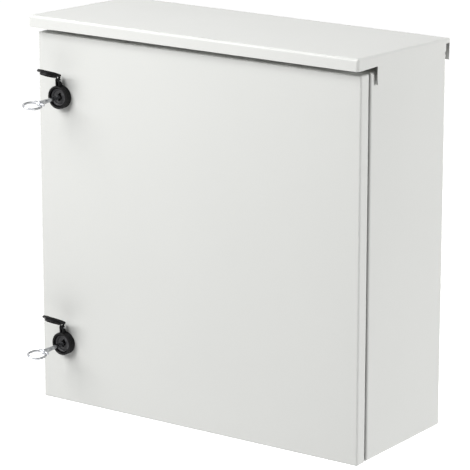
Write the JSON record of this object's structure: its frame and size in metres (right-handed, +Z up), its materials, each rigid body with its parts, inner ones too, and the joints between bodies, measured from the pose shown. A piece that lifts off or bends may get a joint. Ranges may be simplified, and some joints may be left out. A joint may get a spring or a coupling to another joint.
{
  "type": "steel wall enclosure",
  "caption": "Shallow square sheet-steel wall enclosure with a sloping rain canopy, an overlapping hinged door, quarter-turn locks with flip-up dust caps, keys, and a mounting plate inside.",
  "frame": {"origin": "centre of the four wall-fixing holes, on the outside of the rear wall", "axes": "+X to the right seen from the front, +Y to the rear into the wall, +Z up; the door faces -Y"},
  "size_m": [0.509, 0.2791, 0.5239],
  "materials": {
    "paint": "light grey textured powder coat",
    "zinc_plated": "bright zinc plating",
    "galvanised": "galvanised sheet with a faint spangle",
    "seal_rubber": "matt foamed seal",
    "black_diecast": "black coated zinc die casting",
    "dark_diecast": "dark grey zinc die casting",
    "black_plastic": "black moulded plastic, slight sheen",
    "key_chrome": "chromed zinc die casting"
  },
  "bodies": {
    "body": {"body_shell": "paint", "canopy": "paint", "canopy_studs": "zinc_plated", "canopy_washers": "seal_rubber", "canopy_nuts": "zinc_plated", "mounting_plate": "galvanised", "plate_studs": "zinc_plated", "plate_nuts": "zinc_plated", "gland_plate": "paint", "gland_seal": "seal_rubber", "gland_studs": "zinc_plated", "gland_nuts": "zinc_plated", "body_hinge_leaves": "zinc_plated", "hinge_pins": "zinc_plated", "earth_stud": "zinc_plated", "earth_nuts": "zinc_plated"},
    "door": {"door_panel": "paint", "door_seal": "seal_rubber", "door_rails": "zinc_plated", "door_hinge_leaves": "zinc_plated", "door_earth_stud": "zinc_plated", "door_earth_nuts": "zinc_plated", "upper_lock_housing": "black_diecast", "upper_lock_washer": "seal_rubber", "upper_lock_nut": "zinc_plated", "upper_cap_collar": "black_plastic", "upper_flap_pin": "zinc_plated", "lower_lock_housing": "black_diecast", "lower_lock_washer": "seal_rubber", "lower_lock_nut": "zinc_plated", "lower_cap_collar": "black_plastic", "lower_flap_pin": "zinc_plated"},
    "upper_lock": {"upper_insert": "dark_diecast", "upper_cam": "zinc_plated", "upper_cam_screw": "zinc_plated"},
    "upper_key": {"upper_key": "key_chrome"},
    "upper_flap": {"upper_flap": "black_plastic"},
    "lower_lock": {"lower_insert": "dark_diecast", "lower_cam": "zinc_plated", "lower_cam_screw": "zinc_plated"},
    "lower_key": {"lower_key": "key_chrome"},
    "lower_flap": {"lower_flap": "black_plastic"}
  },
  "joints": [
    {"name": "door_swing", "type": "hinge", "parent": "body", "child": "door", "pos_m": [0.2445, -0.189, 0], "axis": [0, 0, 1], "range_deg": [0, 115]},
    {"name": "upper_lock_turn", "type": "hinge", "parent": "door", "child": "upper_lock", "pos_m": [-0.212, -0.2, 0.168], "axis": [0, 1, 0], "range_deg": [0, 90]},
    {"name": "upper_key_pull", "type": "slide", "parent": "upper_lock", "child": "upper_key", "axis": [0, -1, 0], "range_m": [0, 0.026]},
    {"name": "upper_flap_swing", "type": "hinge", "parent": "door", "child": "upper_flap", "pos_m": [-0.212, -0.207, 0.1905], "axis": [-1, 0, 0], "range_deg": [-42, 53]},
    {"name": "lower_lock_turn", "type": "hinge", "parent": "door", "child": "lower_lock", "pos_m": [-0.212, -0.2, -0.168], "axis": [0, 1, 0], "range_deg": [0, 90]},
    {"name": "lower_key_pull", "type": "slide", "parent": "lower_lock", "child": "lower_key", "axis": [0, -1, 0], "range_m": [0, 0.026]},
    {"name": "lower_flap_swing", "type": "hinge", "parent": "door", "child": "lower_flap", "pos_m": [-0.212, -0.207, -0.1455], "axis": [-1, 0, 0], "range_deg": [-48, 47]}
  ]
}
